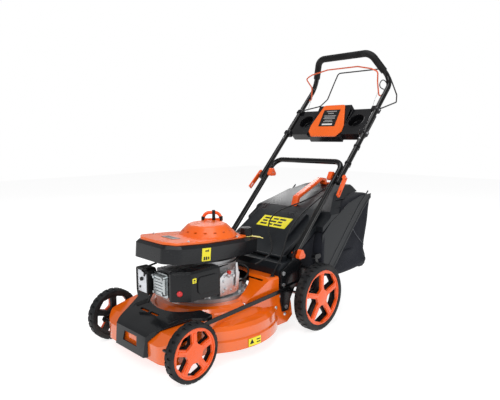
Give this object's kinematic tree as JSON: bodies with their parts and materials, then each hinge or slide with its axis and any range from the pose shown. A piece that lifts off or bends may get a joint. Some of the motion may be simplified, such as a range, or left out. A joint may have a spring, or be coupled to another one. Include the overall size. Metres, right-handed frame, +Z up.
{
  "type": "walk-behind lawn mower",
  "caption": "Walk-behind rotary lawn mower with engine, blade, worm drive, four wheels, height lever, folding handle, two control bails, rear flap and grass bag.",
  "frame": {"origin": "on the ground under the centre of the machine's length and width", "axes": "+Y from the front wheels to the handle, +X to the operator's left, +Z up"},
  "size_m": [0.532, 1.3037, 1.0747],
  "materials": {
    "deck_orange": "gloss powder coat",
    "cover_orange": "gloss",
    "slate_plastic": "fine texture",
    "black_plastic": "satin",
    "black_gloss": "gloss",
    "black_paint": "satin",
    "zinc_steel": "zinc plated",
    "cast_aluminium": "as cast",
    "silver_paint": "satin",
    "black_enamel": "heat proof enamel",
    "blade_steel": "painted steel, ground edges",
    "tyre": "moulded",
    "foam": "matte foam",
    "cloth": "woven",
    "belt_rubber": "matte",
    "bulb_rubber": "satin",
    "cable_sheath": "satin",
    "cast_iron": "machined"
  },
  "bodies": {
    "chassis": {"deck": "deck_orange", "front_cover": "slate_plastic", "handle_brackets": "zinc_steel", "rear_chute": "slate_plastic", "deck_bolts": "zinc_steel", "engine_block": "cast_aluminium", "cylinder_head": "silver_paint", "blower_housing": "black_gloss", "top_cover": "cover_orange", "muffler": "black_enamel", "muffler_guard": "black_enamel", "airbox_cover": "black_plastic", "carburettor": "cast_aluminium", "control_plate": "zinc_steel", "fuel_tank": "black_plastic", "drive_belt": "belt_rubber", "brake_cable": "cable_sheath", "drive_cable": "cable_sheath"},
    "crank_train": {"crankshaft": "zinc_steel", "flywheel": "cast_aluminium", "blade_adapter": "cast_iron", "blade": "blade_steel", "blade_bolt": "zinc_steel"},
    "rear_axle_set": {"rear_axle": "zinc_steel", "height_lever": "black_paint", "gearbox": "cast_aluminium"},
    "front_axle_set": {"front_axle": "zinc_steel"},
    "link": {"link_bar": "black_paint"},
    "input_pulley": {"gearbox_pulley": "zinc_steel"},
    "output_shaft": {"drive_shaft": "zinc_steel"},
    "front_left": {"front_wheel_left": "tyre", "front_wheel_cover_left": "cover_orange"},
    "front_right": {"front_wheel_right": "tyre", "front_wheel_cover_right": "cover_orange"},
    "rear_left": {"rear_wheel_left": "tyre", "rear_wheel_cover_left": "cover_orange"},
    "rear_right": {"rear_wheel_right": "tyre", "rear_wheel_cover_right": "cover_orange"},
    "lower_bars": {"lower_handle": "black_paint"},
    "upper_bars": {"upper_handle": "black_paint", "grip": "foam", "console": "slate_plastic", "console_panel": "cover_orange", "clamp_bolts": "zinc_steel"},
    "lever_left": {"cam_lever_left": "cover_orange"},
    "lever_right": {"cam_lever_right": "cover_orange"},
    "nut_left": {"clamp_knob_left": "cover_orange"},
    "nut_right": {"clamp_knob_right": "cover_orange"},
    "knob_left": {"lower_knob_left": "cover_orange"},
    "knob_right": {"lower_knob_right": "cover_orange"},
    "brake_lever": {"brake_bail": "deck_orange"},
    "drive_lever": {"drive_bail": "black_paint"},
    "flap": {"rear_flap": "slate_plastic"},
    "grass_bag": {"bag_lid": "slate_plastic", "bag_cloth": "cloth", "bag_handle": "cover_orange"},
    "pull": {"starter_handle": "cover_orange"},
    "primer": {"primer_bulb": "bulb_rubber"},
    "cap": {"fuel_cap": "black_plastic"},
    "governor": {"governor_arm": "zinc_steel"}
  },
  "joints": [
    {"name": "crank_spin", "type": "hinge", "parent": "chassis", "child": "crank_train", "pos_m": [0, -0.313, 0.2], "axis": [0, 0, 1], "continuous": true},
    {"name": "rear_height", "type": "hinge", "parent": "chassis", "child": "rear_axle_set", "pos_m": [0, 0.054, 0.1225], "axis": [1, 0, 0], "range_deg": [-25, 25], "deforming": ["drive_belt"]},
    {"name": "front_height", "type": "hinge", "parent": "chassis", "child": "front_axle_set", "pos_m": [0, -0.61, 0.089], "axis": [1, 0, 0], "range_deg": [-25, 25]},
    {"name": "link_swing", "type": "hinge", "parent": "rear_axle_set", "child": "link", "pos_m": [0.203, 0.054, 0.0925], "axis": [1, 0, 0], "range_deg": [-25, 25]},
    {"name": "input_spin", "type": "hinge", "parent": "rear_axle_set", "child": "input_pulley", "pos_m": [0.06, -0.018, 0.1], "axis": [0, 0, 1], "continuous": true},
    {"name": "output_spin", "type": "hinge", "parent": "rear_axle_set", "child": "output_shaft", "pos_m": [0, -0.018, 0.1225], "axis": [1, 0, 0], "continuous": true},
    {"name": "front_left_spin", "type": "hinge", "parent": "front_axle_set", "child": "front_left", "pos_m": [0.222, -0.563, 0.089], "axis": [1, 0, 0], "continuous": true},
    {"name": "front_right_spin", "type": "hinge", "parent": "front_axle_set", "child": "front_right", "pos_m": [-0.222, -0.563, 0.089], "axis": [1, 0, 0], "continuous": true},
    {"name": "rear_left_spin", "type": "hinge", "parent": "rear_axle_set", "child": "rear_left", "pos_m": [0.246, 0.007, 0.1225], "axis": [1, 0, 0], "continuous": true},
    {"name": "rear_right_spin", "type": "hinge", "parent": "rear_axle_set", "child": "rear_right", "pos_m": [-0.246, 0.007, 0.1225], "axis": [1, 0, 0], "continuous": true},
    {"name": "lower_fold", "type": "hinge", "parent": "chassis", "child": "lower_bars", "pos_m": [0, -0.05, 0.282], "axis": [-1, 0, 0], "range_deg": [-115, 0], "deforming": ["brake_cable", "drive_cable"]},
    {"name": "upper_fold", "type": "hinge", "parent": "lower_bars", "child": "upper_bars", "pos_m": [0, 0.19688, 0.54675], "axis": [1, 0, 0], "range_deg": [0, 130]},
    {"name": "lever_left_swing", "type": "hinge", "parent": "upper_bars", "child": "lever_left", "pos_m": [0.2215, 0.19688, 0.54675], "axis": [0, -0.7314, 0.682], "range_deg": [0, 110]},
    {"name": "lever_right_swing", "type": "hinge", "parent": "upper_bars", "child": "lever_right", "pos_m": [-0.2215, 0.19688, 0.54675], "axis": [0, 0.7314, -0.682], "range_deg": [0, 110]},
    {"name": "nut_left_turn", "type": "hinge", "parent": "upper_bars", "child": "nut_left", "pos_m": [0.159, 0.19688, 0.54675], "axis": [1, 0, 0], "continuous": true},
    {"name": "nut_right_turn", "type": "hinge", "parent": "upper_bars", "child": "nut_right", "pos_m": [-0.159, 0.19688, 0.54675], "axis": [1, 0, 0], "continuous": true},
    {"name": "knob_left_turn", "type": "hinge", "parent": "chassis", "child": "knob_left", "pos_m": [0.205, -0.05, 0.282], "axis": [1, 0, 0], "continuous": true},
    {"name": "knob_right_turn", "type": "hinge", "parent": "chassis", "child": "knob_right", "pos_m": [-0.205, -0.05, 0.282], "axis": [1, 0, 0], "continuous": true},
    {"name": "brake_squeeze", "type": "hinge", "parent": "upper_bars", "child": "brake_lever", "pos_m": [0, 0.50378, 0.87586], "axis": [-1, 0, 0], "range_deg": [0, 22.5], "stiffness_Nm_per_rad": 3, "springref_deg": -22.92},
    {"name": "drive_squeeze", "type": "hinge", "parent": "upper_bars", "child": "drive_lever", "pos_m": [0, 0.45127, 0.81954], "axis": [1, 0, 0], "range_deg": [0, 27], "stiffness_Nm_per_rad": 3, "springref_deg": -22.92},
    {"name": "flap_lift", "type": "hinge", "parent": "chassis", "child": "flap", "pos_m": [0, -0.093, 0.27], "axis": [-1, 0, 0], "range_deg": [-40, 0], "stiffness_Nm_per_rad": 2, "springref_deg": 34.38},
    {"name": "bag_draw", "type": "slide", "parent": "chassis", "child": "grass_bag", "axis": [0, 1, 0], "range_m": [0, 0.45]},
    {"name": "starter_pull", "type": "slide", "parent": "chassis", "child": "pull", "axis": [0, -0.6, -0.8], "range_m": [-0.5, 0], "stiffness_N_per_m": 20, "springref_m": 0.4},
    {"name": "primer_press", "type": "slide", "parent": "chassis", "child": "primer", "axis": [-0.7071, 0.7071, 0], "range_m": [0, 0.004], "stiffness_N_per_m": 1500},
    {"name": "cap_turn", "type": "hinge", "parent": "chassis", "child": "cap", "pos_m": [0.054, -0.176, 0.36], "axis": [0, 0, 1], "range_deg": [0, 90]},
    {"name": "governor_swing", "type": "hinge", "parent": "chassis", "child": "governor", "pos_m": [0.13, -0.297, 0.214], "axis": [1, 0, 0], "range_deg": [-12, 12]}
  ],
  "couplings": [
    {"joint": "front_height", "follows": "rear_height", "ratio": -1},
    {"joint": "link_swing", "follows": "rear_height", "ratio": -1},
    {"joint": "input_spin", "follows": "crank_spin", "ratio": 0.57143},
    {"joint": "output_spin", "follows": "crank_spin", "ratio": 0.035714}
  ]
}
